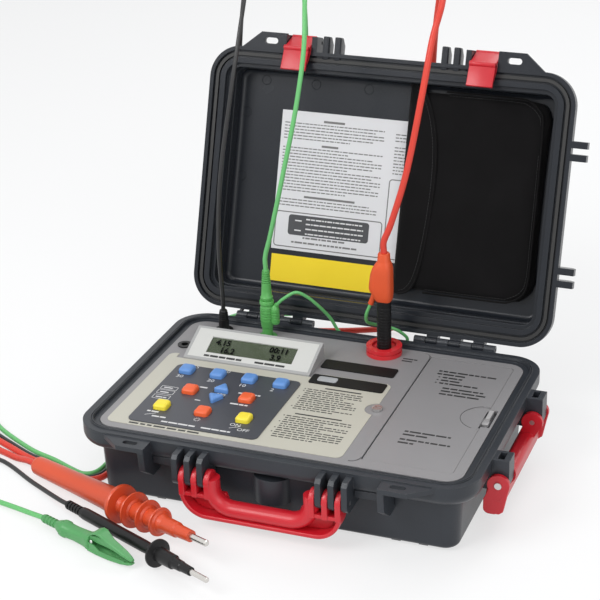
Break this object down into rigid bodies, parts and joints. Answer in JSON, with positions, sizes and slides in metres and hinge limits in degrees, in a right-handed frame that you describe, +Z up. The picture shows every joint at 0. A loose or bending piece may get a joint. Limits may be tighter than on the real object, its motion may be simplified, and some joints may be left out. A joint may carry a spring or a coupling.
{
  "type": "high voltage tester",
  "caption": "Battery high voltage insulation tester in a hinged carrying case with keypad, display, plugged test leads, probes and a clip.",
  "frame": {"origin": "middle of the base's flat floor pad, under the centre of the case rims, on the table", "axes": "+X to the right, +Y towards the lid hinge, +Z up"},
  "size_m": [0.5413, 0.462, 0.3617],
  "materials": {
    "case": "fine moulded texture",
    "panel": "satin",
    "label": "printed film, satin",
    "keypad_dark": "membrane film, satin",
    "grey_frame": "satin",
    "white_face": "printed film",
    "lcd": "clear window over the display",
    "board": "circuit board",
    "black_plastic": "satin",
    "battery": "shrink wrap",
    "lens": "clear",
    "red_plastic": "moulded, satin",
    "red_rubber": "soft",
    "orange_rubber": "soft",
    "green_plastic": "satin",
    "black_rubber": "soft",
    "steel": "turned pins",
    "key_blue": "satin",
    "key_orange": "satin",
    "key_yellow": "satin",
    "card": "printed card",
    "sticker": "printed film",
    "pouch": "woven nylon",
    "orange_plastic": "moulded, satin",
    "tip_metal": "plated"
  },
  "bodies": {
    "base": {"base_shell": "case", "instrument_panel": "panel", "panel_label": "label", "keypad_plate": "keypad_dark", "display_housing": "grey_frame", "display_face": "white_face", "lcd_module": "black_plastic", "lcd_window": "lcd", "main_board": "board", "hv_module": "black_plastic", "battery_pack": "battery", "blank_plate": "black_plastic", "port_plate": "black_plastic", "optical_port": "lens", "charger_socket": "black_plastic", "jack_guard": "black_plastic", "jack_earth": "green_plastic", "jack_line": "red_plastic", "accessory_tray": "panel", "front_handle_pins": "steel", "side_handle_pins": "steel", "hinge_pins": "steel", "plug_black": "black_plastic", "adapter_green": "green_plastic", "plug_green": "green_plastic", "plug_line": "black_plastic", "boot_line": "orange_rubber", "lead_black": "black_rubber", "lead_green": "green_plastic", "lead_red": "red_rubber", "link_cord": "green_plastic", "probe_red": "orange_plastic", "probe_black": "black_plastic", "probe_tips": "tip_metal", "clip_frame": "green_plastic"},
    "lid": {"lid_shell": "case", "lid_seal": "black_rubber", "card": "card", "sticker": "sticker", "pouch": "pouch", "latch_pins": "steel"},
    "latch_left": {"latch_left": "red_plastic"},
    "latch_right": {"latch_right": "red_plastic"},
    "front_handle": {"front_handle": "red_plastic"},
    "side_handle": {"side_handle": "red_plastic"},
    "accessory_cover": {"accessory_cover": "panel"},
    "cover_latch": {"cover_latch": "black_plastic"},
    "quarter_turn": {"quarter_turn": "steel"},
    "clip_jaw": {"clip_jaw": "green_plastic"},
    "key_blue_1": {"key_blue_1": "key_blue"},
    "key_blue_2": {"key_blue_2": "key_blue"},
    "key_blue_3": {"key_blue_3": "key_blue"},
    "key_blue_4": {"key_blue_4": "key_blue"},
    "key_orange_left": {"key_orange_left": "key_orange"},
    "key_orange_right": {"key_orange_right": "key_orange"},
    "key_orange_front": {"key_orange_front": "key_orange"},
    "key_up": {"key_up": "key_blue"},
    "key_down": {"key_down": "key_blue"},
    "key_yellow_left": {"key_yellow_left": "key_yellow"},
    "key_yellow_right": {"key_yellow_right": "key_yellow"}
  },
  "joints": [
    {"name": "lid_hinge", "type": "hinge", "parent": "base", "child": "lid", "pos_m": [0, 0.1164, 0.0625], "axis": [1, 0, 0], "range_deg": [0, 36], "deforming": ["lead_black", "lead_green", "lead_red"]},
    {"name": "latch_left_pivot", "type": "hinge", "parent": "lid", "child": "latch_left", "pos_m": [-0.0801, 0.203, 0.28231], "axis": [-1, 0, 0], "range_deg": [0, 110]},
    {"name": "latch_right_pivot", "type": "hinge", "parent": "lid", "child": "latch_right", "pos_m": [0.0801, 0.203, 0.28231], "axis": [-1, 0, 0], "range_deg": [0, 110]},
    {"name": "front_handle_pivot", "type": "hinge", "parent": "base", "child": "front_handle", "pos_m": [0, -0.118, 0.0415], "axis": [-1, 0, 0], "range_deg": [0, 100]},
    {"name": "side_handle_pivot", "type": "hinge", "parent": "base", "child": "side_handle", "pos_m": [0.164, 0, 0.0429], "axis": [0, -1, 0], "range_deg": [0, 100]},
    {"name": "accessory_cover_hinge", "type": "hinge", "parent": "base", "child": "accessory_cover", "pos_m": [0.0679, 0.0025, 0.0595], "axis": [0, -1, 0], "range_deg": [0, 100]},
    {"name": "cover_latch_slide", "type": "slide", "parent": "accessory_cover", "child": "cover_latch", "axis": [-1, 0, 0], "range_m": [0, 0.0015], "stiffness_N_per_m": 300, "springref_m": -0.002},
    {"name": "quarter_turn_fastener", "type": "hinge", "parent": "base", "child": "quarter_turn", "pos_m": [0.0538, -0.0101, 0.06], "axis": [0, 0, 1], "range_deg": [0, 90]},
    {"name": "clip_jaw_pivot", "type": "hinge", "parent": "base", "child": "clip_jaw", "pos_m": [-0.10881, -0.17491, 0.0105], "axis": [-0.3518, -0.9361, 0], "range_deg": [0, 22], "stiffness_Nm_per_rad": 0.08, "springref_deg": -34.38},
    {"name": "key_blue_1_press", "type": "slide", "parent": "base", "child": "key_blue_1", "axis": [0, 0, -1], "range_m": [0, 0.0015], "stiffness_N_per_m": 600, "springref_m": -0.0008},
    {"name": "key_blue_2_press", "type": "slide", "parent": "base", "child": "key_blue_2", "axis": [0, 0, -1], "range_m": [0, 0.0015], "stiffness_N_per_m": 600, "springref_m": -0.0008},
    {"name": "key_blue_3_press", "type": "slide", "parent": "base", "child": "key_blue_3", "axis": [0, 0, -1], "range_m": [0, 0.0015], "stiffness_N_per_m": 600, "springref_m": -0.0008},
    {"name": "key_blue_4_press", "type": "slide", "parent": "base", "child": "key_blue_4", "axis": [0, 0, -1], "range_m": [0, 0.0015], "stiffness_N_per_m": 600, "springref_m": -0.0008},
    {"name": "key_orange_left_press", "type": "slide", "parent": "base", "child": "key_orange_left", "axis": [0, 0, -1], "range_m": [0, 0.0015], "stiffness_N_per_m": 600, "springref_m": -0.0008},
    {"name": "key_orange_right_press", "type": "slide", "parent": "base", "child": "key_orange_right", "axis": [0, 0, -1], "range_m": [0, 0.0015], "stiffness_N_per_m": 600, "springref_m": -0.0008},
    {"name": "key_orange_front_press", "type": "slide", "parent": "base", "child": "key_orange_front", "axis": [0, 0, -1], "range_m": [0, 0.0015], "stiffness_N_per_m": 600, "springref_m": -0.0008},
    {"name": "key_up_press", "type": "slide", "parent": "base", "child": "key_up", "axis": [0, 0, -1], "range_m": [0, 0.0015], "stiffness_N_per_m": 600, "springref_m": -0.0008},
    {"name": "key_down_press", "type": "slide", "parent": "base", "child": "key_down", "axis": [0, 0, -1], "range_m": [0, 0.0015], "stiffness_N_per_m": 600, "springref_m": -0.0008},
    {"name": "key_yellow_left_press", "type": "slide", "parent": "base", "child": "key_yellow_left", "axis": [0, 0, -1], "range_m": [0, 0.0015], "stiffness_N_per_m": 600, "springref_m": -0.0008},
    {"name": "key_yellow_right_press", "type": "slide", "parent": "base", "child": "key_yellow_right", "axis": [0, 0, -1], "range_m": [0, 0.0015], "stiffness_N_per_m": 600, "springref_m": -0.0008}
  ]
}
